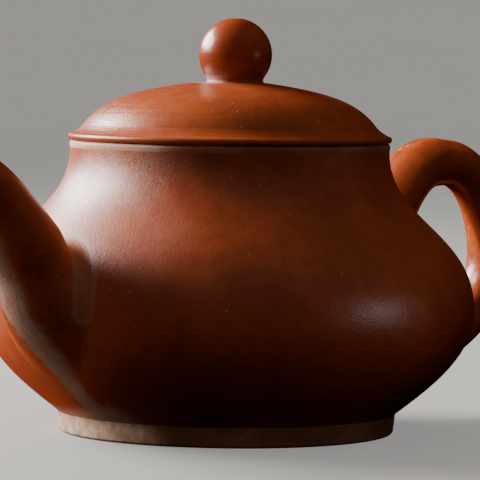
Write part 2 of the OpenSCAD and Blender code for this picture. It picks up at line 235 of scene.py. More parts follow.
@dataclass(frozen=True)
class Lathe:
    """How a line of section points is turned into a round piece."""

    sides: int = 240
    line_pitch: float = 0.75
    line_reach: float = 0.022

    def turn(
        self, name: str, line: Array, middles: Array | Pair = (0.0, 0.0), is_loop: bool = True
    ) -> Piece:
        """Turn a line of points round an upright axis.

        Args:
            name: Name of the piece.
            line: Section points as [radius, height] in mm, one a row.
            middles: The axis, or one for each point of the line.
            is_loop: Whether the line is closed.

        Returns:
            The new piece.
        """
        angle = turns(self.sides)
        middle = np.broadcast_to(np.asarray(middles, float), (len(line), 2))
        r, z = line[:, :1], line[:, 1:]
        x = middle[:, :1] + r * np.cos(angle)
        y = middle[:, 1:] + r * np.sin(angle)
        rings = np.stack([x, y, np.broadcast_to(z, x.shape)], axis=-1)
        run = np.broadcast_to(along(line)[:, None] * self.line_pitch, x.shape)
        lay = np.stack([x * self.line_reach, y * self.line_reach, run], axis=-1)
        return ring_mesh(name, rings, lay, is_loop)


@dataclass(frozen=True)
class Texture:
    """A soft unevenness: how fine it is, and how many finer layers it has and how strong."""

    scale: float
    detail: float = 3.0
    rough: float = 0.5


@dataclass(frozen=True)
class Specks:
    """Scattered round grains. The largest and smallest radius are shares of a cell."""

    cells_a_metre: float
    largest: float
    smallest: float
    shift: Point = (0.0, 0.0, 0.0)
    core: float = 0.55


CLOUDS = Texture(60.0)
PATCHES = Texture(330.0, 4.0, 0.6)
GRAIN = Texture(1900.0, 3.0, 0.65)
LINES = Texture(1.0, 5.0, 0.62)
SCRATCHES = Texture(4.2, 3.0, 0.6)
FIBRES = Texture(2.4, 4.0, 0.7)
BLOTCHES = Texture(520.0, 4.0, 0.62)
FRAYING = Texture(420.0, 4.0, 0.65)
PAPER = Texture(9.0, 4.0)
SAND = Specks(780.0, 0.17, 0.068)
PITS = Specks(420.0, 0.12, 0.048, (0.31, 0.17, 0.53))


class Wiring:
    """The nodes of a material or a world, with short ways to add and join them."""

    def __init__(self, owner: bpy.types.Material | bpy.types.World) -> None:
        """Start without nodes.

        Args:
            owner: What the nodes belong to.
        """
        owner.use_nodes = True
        self.tree = owner.node_tree
        self.tree.nodes.clear()

    def put(self, value: object, socket: Socket) -> None:
        """Join a socket to an input, or set the input to a plain value.

        Args:
            value: An output socket, a number or a colour.
            socket: The input.
        """
        if isinstance(value, Socket):
            self.tree.links.new(value, socket)
        elif isinstance(value, (tuple, list)) and len(socket.default_value) == 4:
            socket.default_value = (*value, 1.0)
        else:
            socket.default_value = value

    def add(
        self, kind: str, inputs: dict[str | int, object] | None = None, **settings: object
    ) -> bpy.types.Node:
        """Add a node.

        Args:
            kind: The node's type, without the shared start of its name.
            inputs: What goes on its inputs, by their names or numbers.
            settings: Properties to set on it.

        Returns:
            The node.
        """
        made = self.tree.nodes.new("ShaderNode" + kind)
        for key, value in settings.items():
            setattr(made, key, value)
        for key, value in (inputs or {}).items():
            self.put(value, made.inputs[key])
        return made

    def math(self, operation: str, *values: object, clamped: bool = False) -> Socket:
        """What an operation gives on numbers, held between 0 and 1 if it is clamped."""
        inputs = dict(enumerate(values))
        return self.add("Math", inputs, operation=operation, use_clamp=clamped).outputs[0]

    def blend(self, start: object, *parts: tuple[Socket, float]) -> Socket:
        """A start value with each texture added to it, times its weight."""
        for texture, weight in parts:
            start = self.math("MULTIPLY_ADD", texture, weight, start)
        return start

    def vector(self, operation: str, *values: object) -> bpy.types.Node:
        """An operation on vectors, as a node, because some give a number and some a vector."""
        return self.add("VectorMath", dict(enumerate(values)), operation=operation)

    def noise(self, place: Socket, soft: Texture) -> Socket:
        """A soft unevenness read at a place, as a number round 0.5."""
        sizes = {"Scale": soft.scale, "Detail": soft.detail, "Roughness": soft.rough}
        return self.add("TexNoise", {"Vector": place, **sizes}, noise_dimensions="3D").outputs[0]

    def ramp(self, value: Socket, step: Pair, low: float = 0.0, high: float = 1.0) -> Socket:
        """A smooth step between two values, low before it and high after it."""
        ends = {"From Min": step[0], "From Max": step[1], "To Min": low, "To Max": high}
        return self.add(
            "MapRange", {"Value": value, **ends}, interpolation_type="SMOOTHSTEP"
        ).outputs[0]

    def tint(self, share: object, under: object, over: object) -> Socket:
        """A share of one colour laid over another."""
        colours = {0: share, 6: under, 7: over}
        return self.add("Mix", colours, data_type="RGBA", blend_type="MIX").outputs[2]

    def specks(self, place: Socket, grains: Specks, share: float) -> Socket:
        """Scattered round grains.

        Args:
            place: Where they are read.
            grains: Their sizes.
            share: Share of the cells that hold a grain.

        Returns:
            1 on a grain and 0 beside it.
        """
        moved = self.vector("ADD", place, grains.shift).outputs[0]
        cells = self.add(
            "TexVoronoi",
            {"Vector": moved, "Scale": grains.cells_a_metre},
            voronoi_dimensions="3D",
            feature="F1",
        )
        pick = self.add("SeparateColor", {0: cells.outputs["Color"]}).outputs
        chosen = self.math("LESS_THAN", pick[0], share)
        growth = grains.largest - grains.smallest
        reach = self.math("MULTIPLY_ADD", pick[1], growth, grains.smallest)
        near = self.math("DIVIDE", cells.outputs["Distance"], reach)
        return self.math("MULTIPLY", chosen, self.ramp(near, (1.0, grains.core)))

    def end(self, kind: str, shader: bpy.types.Node) -> None:
        """Join the last shader to an output of a kind."""
        self.add("Output" + kind, {"Surface": shader.outputs[0]})


@dataclass(frozen=True)
class Run:
    """A mark along a straight line on the clay, in mm, broken by blotches where it is mottled.
    Some are residue, some painted shade and some painted light.
    """

    start: Point
    end: Point
    width: float
    strength: float
    colour: Colour
    mottle: float = 0.0
    core: float = 0.25
    blotch_step: Pair = (0.42, 0.60)

    def mask(self, wiring: Wiring, place: Socket) -> Socket:
        """How much of the mark lies at a place.

        Args:
            wiring: The material's nodes.
            place: The place, in metres.

        Returns:
            A number from 0 to 1.
        """
        start = Vector(self.start) * MM
        way = Vector(self.end) * MM - start
        off = wiring.vector("SUBTRACT", place, tuple(start)).outputs[0]
        share = wiring.vector("DOT_PRODUCT", off, tuple(way / way.length_squared)).outputs[1]
        share = wiring.math("MULTIPLY", share, 1.0, clamped=True)
        nearest = wiring.add("VectorMath", {0: tuple(way), "Scale": share}, operation="SCALE")
        gap = wiring.vector("DISTANCE", off, nearest.outputs[0]).outputs[1]
        edge = (self.width * MM, self.core * self.width * MM)
        blotches = wiring.noise(place, BLOTCHES)
        return wiring.math(
            "MULTIPLY",
            wiring.ramp(gap, edge, 0.0, self.strength),
            wiring.ramp(blotches, self.blotch_step, 1.0 - self.mottle, 1.0),
        )


@dataclass(frozen=True)
class Seam:
    """Residue at a distance in mm from a line, which each point of the piece keeps."""

    line: str
    nearest: float
    farthest: float
    fade: float
    strength: float
    fray: float
    colour: Colour = (0.33, 0.25, 0.15)

    def mask(self, wiring: Wiring, place: Socket) -> Socket:
        """How much of the residue lies at a place.

        Args:
            wiring: The material's nodes.
            place: The place, for the fraying of the edges.

        Returns:
            A number from 0 to 1.
        """
        read = wiring.add("Attribute", attribute_type="GEOMETRY", attribute_name=self.line)
        loose = wiring.math("SUBTRACT", wiring.noise(place, FRAYING), 0.5)
        gap = wiring.math("MULTIPLY_ADD", loose, 2 * self.fray, read.outputs["Fac"])
        rise = wiring.ramp(gap, (self.nearest - self.fade, self.nearest))
        fall = wiring.ramp(gap, (self.farthest, self.farthest + self.fade), self.strength, 0.0)
        return wiring.math("MULTIPLY", rise, fall)


StainOrPaintedLight = Run | Seam


@dataclass(frozen=True)
class ClayFinish:
    """A fired clay surface: its colours, gloss and unevenness. Depths are in mm."""

    tone: Tone
    deep: Colour
    warm: Colour
    pale: Colour
    roughness: float
    gloss: float = 0.5
    haze: float = 0.12
    haze_rough: float = 0.62
    grain_depth: float = 0.060
    line_depth: float = 0.060
    scratch_depth: float = 0.050
    swell_depth: float = 0.06
    pit_depth: float = 0.06
    sand_share: float = 0.18
    sand_tint: float = 0.7
    pit_share: float = 0.05
    pit_tint: float = 0.5
    pit_shade: float = 0.35
    patch_part: float = 0.45
    cloud_part: float = 0.75
    warm_step: Pair = (0.42, 0.80)
    line_step: Pair = (0.50, 0.74)
    line_tint: float = 0.35
    line_rough: float = 0.16
    patch_rough: float = 0.12
    stain_and_painted_light_rough: float = 0.35
    has_fibres: bool = True
    break_grain: float = 0.35
    break_step: Pair = (0.48, 0.86)
    break_low: float = 0.40

    def material(self, name: str, stains_and_painted_light: tuple[StainOrPaintedLight, ...] = ()) -> bpy.types.Material:
        """The finish as a material.

        Args:
            name: Name of the material.
            stains_and_painted_light: Residue, wear, painted shade and painted light to lay over
                the clay.

        Returns:
            The material.
        """
        made = bpy.data.materials.new(name)
        wiring = Wiring(made)
        place = wiring.add("TexCoord").outputs["Object"]
        lay = wiring.add("Attribute", attribute_type="GEOMETRY", attribute_name="lay")
        lay = lay.outputs["Vector"]
        clouds, patches, grain = (wiring.noise(place, soft) for soft in (CLOUDS, PATCHES, GRAIN))
        lines, scratches = (wiring.noise(lay, soft) for soft in (LINES, SCRATCHES))
        fibres = wiring.noise(lay, FIBRES) if self.has_fibres else patches
        sand = wiring.specks(place, SAND, self.sand_share)
        pits = wiring.specks(place, PITS, self.pit_share)

        uneven = wiring.blend(0.0, (clouds, self.cloud_part), (patches, self.patch_part))
        dark = tuple(self.pit_shade * c for c in self.deep)
        colour = wiring.tint(wiring.ramp(uneven, self.warm_step), self.deep, self.warm)
        worn = wiring.ramp(lines, self.line_step, 0.0, self.line_tint)
        colour = wiring.tint(worn, colour, self.warm)
        colour = wiring.tint(wiring.math("MULTIPLY", sand, self.sand_tint), colour, self.pale)
        colour = wiring.tint(wiring.math("MULTIPLY", pits, self.pit_tint), colour, dark)
        even = self.roughness - self.line_rough - self.patch_rough / 2
        strokes = wiring.math("ADD", lines, scratches)
        rough = wiring.blend(even, (strokes, self.line_rough), (patches, self.patch_rough))
        broken = wiring.blend(fibres, (grain, self.break_grain))
        broken = wiring.ramp(broken, self.break_step, self.break_low, 1.0)
        for stain_or_painted_light in stains_and_painted_light:
            share = wiring.math("MULTIPLY", stain_or_painted_light.mask(wiring, place), broken)
            colour = wiring.tint(share, colour, stain_or_painted_light.colour)
            rough = wiring.blend(rough, (share, self.stain_and_painted_light_rough))

        height = wiring.blend(
            0.0,
            (grain, self.grain_depth),
            (lines, self.line_depth),
            (scratches, self.scratch_depth),
            (clouds, self.swell_depth),
            (pits, -self.pit_depth),
        )
        bump = wiring.add("Bump", {"Height": height, "Distance": MM, "Strength": 1.0}).outputs[0]
        looks = {
            "Base Color": colour,
            "Roughness": rough,
            "Specular IOR Level": self.gloss,
            "Coat Weight": self.haze,
            "Coat Roughness": self.haze_rough,
            "Normal": bump,
            "Coat Normal": bump,
        }
        wiring.end("Material", wiring.add("BsdfPrincipled", looks))
        return made


BURNISHED = ClayFinish(
    tone=Tone.BURNISHED,
    deep=(0.280, 0.045, 0.009),
    warm=(0.385, 0.068, 0.015),
    pale=(0.62, 0.40, 0.26),
    roughness=0.36,
)
HANDLED = replace(BURNISHED, roughness=0.28, grain_depth=0.03, line_depth=0.03, scratch_depth=0.02)
POLISHED = replace(HANDLED, deep=(0.250, 0.036, 0.006), warm=(0.345, 0.055, 0.010), roughness=0.25)
CLEAR = replace(BURNISHED, haze=0.0, deep=(0.285, 0.048, 0.009), warm=(0.390, 0.073, 0.015))
WORN = replace(
    BURNISHED,
    tone=Tone.RUBBED,
    deep=(0.26, 0.050, 0.013),
    warm=(0.37, 0.080, 0.026),
    roughness=0.46,
)
STRIP = ClayFinish(
    tone=Tone.RUBBED,
    deep=(0.29, 0.075, 0.030),
    warm=(0.42, 0.150, 0.075),
    pale=(0.62, 0.44, 0.31),
    roughness=0.58,
    gloss=0.4,
    grain_depth=0.016,
    line_depth=0.012,
    scratch_depth=0.012,
)
RUBBED = ClayFinish(
    tone=Tone.RUBBED,
    deep=(0.23, 0.085, 0.042),
    warm=(0.36, 0.170, 0.095),
    pale=(0.70, 0.55, 0.42),
    roughness=0.72,
    gloss=0.35,
    grain_depth=0.03,
    line_depth=0.006,
    scratch_depth=0.008,
    sand_share=0.2,
    line_tint=0.15,
    has_fibres=False,
)
INSIDE = ClayFinish(
    tone=Tone.INSIDE,
    deep=(0.20, 0.060, 0.026),
    warm=(0.31, 0.105, 0.048),
    pale=(0.50, 0.33, 0.22),
    roughness=0.74,
    gloss=0.3,
    grain_depth=0.02,
    line_depth=0.02,
    scratch_depth=0.015,
    sand_share=0.16,
)
# Colour of the pale mineral film, which also serves as a painted sheen on the lit side.
FILM_AND_SHEEN: Colour = (0.40, 0.31, 0.26)


def dress(
    piece: Piece, clay: ClayFinish, body: Ride, node: str, stains_and_painted_light: tuple[StainOrPaintedLight, ...] = ()
) -> Piece:
    """Finish a piece, and set it in its node's place.

    Args:
        piece: The piece.
        clay: Its finish.
        body: The body it moves with.
        node: The solid that it stands for.
        stains_and_painted_light: Residue, wear, painted shade and painted light on it.

    Returns:
        The piece.
    """
    piece.data.shade_smooth()
    piece.data.set_sharp_from_angle(angle=math.radians(EDGE_ANGLE))
    piece.data.materials.clear()
    piece.data.materials.append(clay.material(piece.name + "_clay", stains_and_painted_light))
    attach(piece, body.value)
    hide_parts(node)
    return piece


@dataclass
class PotBody:
    """The wall, the foot under it and the strip round its mouth. Sizes are in mm and degrees."""

    belly_r: float = 48.3
    belly_z: float = 24.3
    neck_r: float = 31.25
    mouth_z: float = 56.8
    wall_t: float = 3.0
    floor_t: float = 3.0
    belly_pull: float = 15.5
    under_pull: float = 8.7
    neck_pull: float = 13.9
    under_angle: float = 38.0
    under_run: float = 9.2
    foot_r: float = 33.2
    foot_h: float = 4.0
    foot_w: float = 5.0
    foot_draft: float = 0.4
    foot_round: float = 0.7
    rim_h: float = 1.5
    rim_proud: float = 0.15
    rim_round: float = 0.8
    line_steps: int = 80
    foot_steps: int = 8
    rim_steps: int = 12
    lathe: Lathe = Lathe()
    # Pale mineral film on the left of the neck and lower on the shoulder, partly a painted sheen
    # on the lit side where the highlight falls.
    film_and_sheen: Run = Run((-32.1, 5.0, 51.5), (-31.2, -9.1, 50.0), 9.0, 0.30, FILM_AND_SHEEN, 0.7)
    low_film_and_sheen: Run = Run((-40.5, -6.9, 42.5), (-36.8, -17.2, 40.5), 11.5, 0.17, FILM_AND_SHEEN, 0.4)
    # Painted shadow: a dark line on the neck just under the strip, where the strip's shade falls.
    painted_strip_shadow: Run = Run(
        (-29.8, -9.2, 53.8), (-23.2, -21.0, 54.2), 3.4, 0.6, (0.10, 0.035, 0.018), 0.3
    )
    # Pale residue low on the wall's left, partly painted light on the lit side.
    sole_residue_and_light: Run = Run((-26.0, 22.0, 4.6), (-33.5, -6.0, 4.6), 6.0, 0.9, (0.60, 0.42, 0.30))
    # Pale dried residue on the foot's left, partly painted light: the foot is made paler on the
    # side where light falls.
    dried: Run = Run(
        (-26.0, 22.0, 2.5), (-32.8, -6.0, 2.5), 11.0, 1.0, (0.66, 0.48, 0.35), 0.45
    )
    # Pale residue on the strip's left, partly a painted highlight on the lit side.
    scale: Run = Run(
        (-25.0, 19.0, 56.2), (-30.4, -7.0, 56.2), 9.0, 0.75, (0.66, 0.51, 0.42), 0.3
    )

    def __post_init__(self) -> None:
        """Work out the lines that the other pieces are set against."""
        self.mouth_r = self.neck_r - self.wall_t
        self.wall_top = self.mouth_z - self.rim_h
        foot = np.array([self.foot_r, self.foot_h])
        belly = np.array([self.belly_r, self.belly_z])
        neck = np.array([self.neck_r, self.wall_top])
        out = foot + self.under_run * aim(self.under_angle)
        under = [foot, out, belly - [0, self.under_pull], belly]
        upper = [belly, belly + [0, self.belly_pull], neck - [0, self.neck_pull], neck]
        self.outside = np.concatenate(
            [curve(under, self.line_steps), curve(upper, self.line_steps)[1:]]
        )

    def outside_r(self, z: Array) -> Array:
        """Outside radius of the wall at each height."""
        return np.interp(z, self.outside[:, 1], self.outside[:, 0])

    def clear(self, p: Array) -> Array:
        """How far points lie outside the wall, level with them."""
        return np.hypot(p[..., 0], p[..., 1]) - self.outside_r(p[..., 2])

    def beside(self, p: Array, away: Array) -> Array:
        """Points moved level, to lie at given distances from the wall."""
        grow = (self.outside_r(p[..., 2]) + away) / np.hypot(p[..., 0], p[..., 1])
        return np.stack([p[..., 0] * grow, p[..., 1] * grow, p[..., 2]], axis=-1)

    def wall(self) -> Piece:
        """The wall, as a turned shell that is open at the mouth and round the floor.

        Returns:
            The piece.
        """
        floor_top = self.foot_h + self.floor_t
        floor_r = self.foot_r - self.foot_w / 2
        inside_top = self.wall_top - self.wall_t / 2
        inside = moved_left(self.outside, self.wall_t)
        inside = inside[(inside[:, 1] > floor_top) & (inside[:, 1] < inside_top)]
        low = [np.interp(floor_top, inside[:, 1], inside[:, 0]), floor_top]
        loop = joined(
            self.outside,
            [[self.mouth_r, self.wall_top]],
            inside[::-1],
            [low, [floor_r, floor_top], [floor_r, self.foot_h]],
        )
        return self.lathe.turn("belly_wall", loop)

    def foot(self) -> Piece:
        """The ring that the pot stands on.

        Returns:
            The piece.
        """
        low_r = self.foot_r - self.foot_draft
        inner_r = self.foot_r - self.foot_w
        r = self.foot_round
        loop = joined(
            [[inner_r, self.foot_h]],
            arc((inner_r + r, r), r, 180, 270),
            arc((low_r - r, r), r, -90, 0),
            np.linspace([low_r, r], [self.foot_r, self.foot_h], self.foot_steps + 1),
        )
        return self.lathe.turn("foot", loop)

    def mouth(self) -> Piece:
        """The strip laid on the neck, with a rounded outer edge.

        Returns:
            The piece.
        """
        r = self.rim_round
        outer = self.neck_r + self.rim_proud
        loop = joined(
            [[self.mouth_r, self.wall_top], [self.neck_r, self.wall_top]],
            arc((outer - r, self.mouth_z - r), r, 0, 90, self.rim_steps),
            arc((self.mouth_r + r / 2, self.mouth_z - r / 2), r / 2, 90, 180),
        )
        return self.lathe.turn("mouth_strip", loop)

    def build(self, spout: "Spout") -> list[Piece]:
        """Build and dress the wall, with the way into the spout cut through it, foot and strip.

        Args:
            spout: The spout that is luted on the wall.

        Returns:
            The three pieces.
        """
        wall = self.wall()
        spout.bore_wall(wall)
        # The wall's marks: mineral film with painted sheen, the painted shadow under the strip,
        # the spout's residue and painted root shade, and pale residue with painted light low on
        # the left.
        own = (self.film_and_sheen, self.low_film_and_sheen, self.painted_strip_shadow)
        shared = (spout.painted_root_shade, spout.drip, spout.fill, spout.outline)
        return [
            dress(wall, BURNISHED, Ride.POT, "body_wall", (*own, *shared, self.sole_residue_and_light)),
            dress(self.foot(), RUBBED, Ride.POT, "foot_ring", (self.dried,)),
            dress(self.mouth(), STRIP, Ride.POT, "mouth_rim", (self.scale,)),
        ]


@dataclass
class Tube:
    """A round piece swept along a path and luted on the wall."""

    body: PotBody
    side: Side
    fillet: float = 2.6
    under_fillet: float = 2.6
    under_reach: float = 2.6
    sink: float = 0.15
    sides: int = 96
    halvings: int = 30
    path: list[Knots] = field(init=False)

    def on_wall(self, z: float, thickness: float) -> Array:
        """A path point on the wall's outside at a height."""
        return np.array([float(self.body.outside_r(z)), z, thickness])

    def follow(self, t: Array, read: Callable[[Knots, Array], Array]) -> Array:
        """Read the path, link by link.

        Args:
            t: Shares of the path.
            read: What is read of a link, from its knots and shares of its run.

        Returns:
            One row of three for each share.
        """
        run = np.asarray(t, float) * len(self.path)
        link = np.minimum(run.astype(int), len(self.path) - 1)
        found = np.empty((*run.shape, 3))
        for k, knots in enumerate(self.path):
            here = link == k
            found[here] = read(knots, run[here] - k)
        return found

    def at(self, t: Array) -> Array:
        """Points of the path as [distance out, height, thickness]."""
        return self.follow(t, curve_at)

    def slope(self, t: Array) -> Array:
        """Slope of the sections along the path, in radians."""
        way = self.follow(t, curve_way)
        return np.arctan2(way[..., 1], way[..., 0])

    def ring(self, at: Array, slope: Array, r: Array) -> Array:
        """Points round the path, one for each turn.

        Args:
            at: Path points, with the turns along the last but one axis.
            slope: Slope of the section, in radians.
            r: Radius of the section.

        Returns:
            Points in mm.
        """
        turn = turns(self.sides)
        facing = self.side.value
        x = facing * (at[..., 0] - r * np.cos(turn) * np.sin(slope))
        y = facing * r * np.sin(turn) * np.ones_like(x)
        z = at[..., 1] + r * np.cos(turn) * np.cos(slope)
        return np.stack([x, y, z], axis=-1)

    def skin(self, t: Array, growth: Array | float = 0.0) -> Array:
        """Points of the tube's outside in mm, grown on each side, for shares at each turn."""
        at = self.at(t)
        return self.ring(at, self.slope(t), at[..., 2] / 2 + growth)

    def leaves_wall(self, hidden: float, shown: float, growth: float = 0.0) -> Array:
        """Where each side of the tube comes out of the wall, found by halving.

        Args:
            hidden: A share of the path inside the wall.
            shown: A share outside it.
            growth: How much thicker the section is, on each side.

        Returns:
            A share of the path for each turn.
        """
        low = np.full(self.sides, hidden)
        high = np.full(self.sides, shown)
        for _ in range(self.halvings):
            middle = (low + high) / 2
            is_out = self.body.clear(self.skin(middle, growth)) > -self.sink
            high = np.where(is_out, middle, high)
            low = np.where(is_out, low, middle)
        return high

    def fillets(self) -> tuple[Array, ...]:
        """How far the hollow curve under and beside the tube reaches out and along the wall."""
        growth = np.array([[self.under_reach], [self.under_fillet]]) - self.fillet
        return tuple(self.fillet + growth * ((1 - np.cos(turns(self.sides))) / 2) ** 2)

    def luted(self, t: Array) -> Array:
        """Points of the outside, spread in a hollow curve where they near the wall.

        Args:
            t: Shares of the path, with the turns along the last axis.

        Returns:
            Points in mm.
        """
        plain = self.skin(t)
        away = self.body.clear(plain)
        reach, drop = self.fillets()
        share = np.clip(1 - away / reach, 0, 1)
        spread = drop * (1 - np.sqrt(1 - share**2))
        laid = self.body.beside(self.skin(t, spread), away)
        return np.where((away < reach)[..., None], laid, plain)

    def lay(self, rings: Array) -> Array:
        """The burnishing of a tube, which runs along it.

        Args:
            rings: Its points in mm.

        Returns:
            A vector for each point.
        """
        turn = turns(self.sides)
        lathe = self.body.lathe
        middle = rings.mean(axis=1, keepdims=True)
        r = np.linalg.norm(rings - middle, axis=-1) * lathe.line_pitch
        run = np.broadcast_to(along(middle) * lathe.line_reach, r.shape)
        return np.stack([r * np.cos(turn), r * np.sin(turn), run], axis=-1)


@dataclass
class Spout(Tube):
    """The bent, hollow spout. Sizes are in mm and degrees."""

    side: Side = Side.SPOUT
    root_z: float = 28.3
    rise: float = 57.0
    root_face: float = 30.0
    root_d: float = 18.5
    waist_x: float = 52.7
    waist_z: float = 37.7
    waist_angle: float = 50.0
    waist_d: float = 14.9
    tip_x: float = 69.4
    tip_z: float = 52.5
    tip_angle: float = 18.0
    tip_d: float = 10.8
    tip_face: float = 42.0
    tube_t: float = 1.8
    swell_loss: float = 0.6
    bend: Pair = (0.20, 0.52)
    bend_step: float = 1e-4
    under_fillet: float = 7.0
    under_reach: float = 12.0
    drip_heights: tuple[float, ...] = (10.0, 18.0, 26.0)
    drip_drifts: tuple[float, ...] = (-2.0, -3.2, 0.0)
    drip_widths: tuple[float, ...] = (1.2, 2.0, 2.6)
    loop_low: float = 23.5
    loop_reach: Pair = (-0.8, 4.4)
    loop_round: float = 2.2
    out_steps: int = 130
    out_bunch: float = 1.7
    bore_steps: int = 48
    lip_steps: int = 12
    # Painted shade: darker clay at the spout's root and on the wall beside it, on the -Y side,
    # where shade falls between spout and belly.
    painted_root_shade: Run = Run(
        (-50.5, -9.5, 19.0), (-58.0, -8.0, 32.0), 9.0, 0.65, (0.08, 0.016, 0.004), 0.25
    )
    drip: Seam = Seam("drip_gap", -9.0, -0.4, 2.6, 0.85, 2.2, (0.28, 0.245, 0.185))
    fill: Seam = Seam("loop_gap", -9.0, -0.9, 1.0, 0.24, 0.9)
    outline: Seam = Seam("loop_gap", -0.6, -0.3, 0.7, 0.38, 0.7)

    def __post_init__(self) -> None:
        """Work out the path, from inside the wall to the mouth."""
        root = self.on_wall(self.root_z, self.root_d)
        waist = np.array([self.waist_x, self.waist_z, self.waist_d])
        tip = np.array([self.tip_x, self.tip_z, self.tip_d])
        root_run = np.linalg.norm((waist - root)[:2]) / 3
        neck_run = np.linalg.norm((tip - waist)[:2]) / 3
        thin = (self.tip_d - self.waist_d) / 3
        swell = self.swell_loss * (self.waist_d - self.root_d)
        start = root - pull(self.root_d, self.root_face)
        into_waist = waist - pull(root_run, self.waist_angle, thin * root_run / neck_run)
        from_waist = waist + pull(neck_run, self.waist_angle, thin)
        self.tip = tip
        self.root = root
        self.path = [
            straight(start, root),
            [root, root + pull(root_run, self.rise, swell), into_waist, waist],
            [waist, from_waist, tip - pull(neck_run, self.tip_angle, thin), tip],
        ]

    def at(self, t: Array) -> Array:
        """Points of the path, with the bend at the root rounded.

        Args:
            t: Shares of the path.

        Returns:
            One row of three for each share.
        """
        t = np.asarray(t, float)
        first, last = self.bend
        step = self.bend_step
        ends = self.follow(np.array([first, first - step, last, last + step]), curve_at)
        into = (ends[0] - ends[1]) / step * (last - first) / 3
        out = (ends[3] - ends[2]) / step * (last - first) / 3
        is_bend = (t > first) & (t < last)
        found = self.follow(t, curve_at)
        knots = [ends[0], ends[0] + into, ends[2] - out, ends[2]]
        found[is_bend] = curve_at(knots, (t[is_bend] - first) / (last - first))
        return found

    def slope(self, t: Array) -> Array:
        """Slope of the sections along the path, in radians."""
        faces = [self.root_face, self.root_face, self.waist_angle, self.tip_face]
        return np.radians(np.interp(t, np.linspace(0, 1, len(faces)), faces))

    def lip(self) -> Array:
        """The rounded edge of the spout's mouth.

        Returns:
            Its rings of points, in mm.
        """
        lip_r = self.tube_t / 2
        rings = []
        for angle in math.pi * np.arange(1, self.lip_steps) / self.lip_steps:
            at = self.tip + pull(lip_r * math.sin(angle), self.tip_face)
            ring_r = self.tip_d / 2 - lip_r + lip_r * math.cos(angle)
            rings.append(
                self.ring(np.tile(at, (self.sides, 1)), math.radians(self.tip_face), ring_r)
            )
        return np.array(rings)

    def tube(self) -> Piece:
        """The spout: its outside, its rounded lip and the way inside it.

        Returns:
            The piece.
        """
        share = np.linspace(0, 1, self.out_steps + 1)[:, None] ** self.out_bunch
        start = self.leaves_wall(0.0, 1.0)
        outside = self.luted(start + (1 - start) * share)
        end = self.leaves_wall(0.0, 1.0, -self.tube_t)
        back = np.linspace(0, 1, self.bore_steps + 1)[:, None]
        bore = self.skin(1 + (end - 1) * back, -self.tube_t)
        rings = np.concatenate([outside, self.lip(), bore])
        piece = ring_mesh("spout_tube", rings, self.lay(rings))
        loop, drip = np.full((2, *rings.shape[:2]), FAR)
        loop[: len(outside)] = self.loop_gap(along(outside), outside[..., 2])
        is_under = np.cos(turns(self.sides)) < 0
        drip[: len(outside)] = np.where(is_under, self.drip_gap(outside), FAR)
        note(piece, "loop_gap", loop)
        note(piece, "drip_gap", drip)
        return piece

    def loop_gap(self, in_from_seam: Array, z: Array) -> Array:
        """Distance from the edge of the dried loop beside the joint, less than 0 inside it.

        Args:
            in_from_seam: Distance from the seam, more than 0 on the spout.
            z: Height.

        Returns:
            A distance in mm for each point.
        """
        first, last = self.loop_reach
        across = np.abs(in_from_seam - (first + last) / 2) - (last - first) / 2 + self.loop_round
        down = self.loop_low - z + self.loop_round
        corner = np.hypot(np.maximum(across, 0), np.maximum(down, 0))
        return corner + np.minimum(np.maximum(across, down), 0) - self.loop_round

    def drip_gap(self, p: Array) -> Array:
        """Distance from the edge of the dried band under the spout, less than 0 inside it."""
        drift, half = (
            np.interp(p[..., 2], self.drip_heights, known)
            for known in (self.drip_drifts, self.drip_widths)
        )
        return np.abs(p[..., 1] - drift) - half

    def cutter(self) -> Piece:
        """A rod as thick as the way into the spout, laid through the wall.

        Returns:
            The rod.
        """
        way = math.radians(self.root_face)
        axis = Vector((-math.cos(way), 0, math.sin(way)))
        middle = Vector((-self.root[0], 0, self.root[1])) * MM
        angle = turns(self.sides) + math.pi / self.sides
        r = self.root_d / 2 - self.tube_t
        ends = [-self.root_d / 2, self.root_d / 2]
        rings = np.array([[[r * math.cos(a), r * math.sin(a), z] for a in angle] for z in ends])
        rod = ring_mesh("spout_way", rings, np.zeros_like(rings), is_loop=False)
        turned = axis.to_track_quat("Z", "Y").to_matrix().to_4x4()
        rod.matrix_world = Matrix.Translation(middle) @ turned
        return rod

    def bore_wall(self, wall: Piece) -> None:
        """Cut the way into the spout through the wall, and note where the residue lies on it.

        Args:
            wall: The pot's wall.
        """
        cut = wall.modifiers.new("way", "BOOLEAN")
        cut.object = self.cutter()
        cut.operation = "DIFFERENCE"
        cut.solver = "EXACT"
        bpy.context.view_layer.update()
        seen = wall.evaluated_get(bpy.context.evaluated_depsgraph_get())
        made = bpy.data.meshes.new_from_object(seen)
        bpy.data.objects.remove(cut.object)
        wall.modifiers.clear()
        weld(made)
        plain = wall.data
        wall.data = made
        bpy.data.meshes.remove(plain)
        made.name = wall.name
        points = np.empty(len(made.vertices) * 3)
        made.vertices.foreach_get("co", points)
        points = points.reshape(-1, 3) / MM
        gap = np.full(len(points), FAR)
        for p in self.luted(self.leaves_wall(0.0, 1.0)):
            gap = np.minimum(gap, np.linalg.norm(points - p, axis=1))
        x, _, z = points.T
        is_under = (x < 0) & (z < self.root_z)
        note(wall, "loop_gap", self.loop_gap(-gap, z))
        note(wall, "drip_gap", np.where(is_under, self.drip_gap(points), FAR))

    def build(self) -> list[Piece]:
        """Build and dress the spout."""
        # Residue on the spout, and painted shade at its root.
        stains_and_painted_light = (self.painted_root_shade, self.fill, self.outline, self.drip)
        return [dress(self.tube(), BURNISHED, Ride.POT, "spout", stains_and_painted_light)]


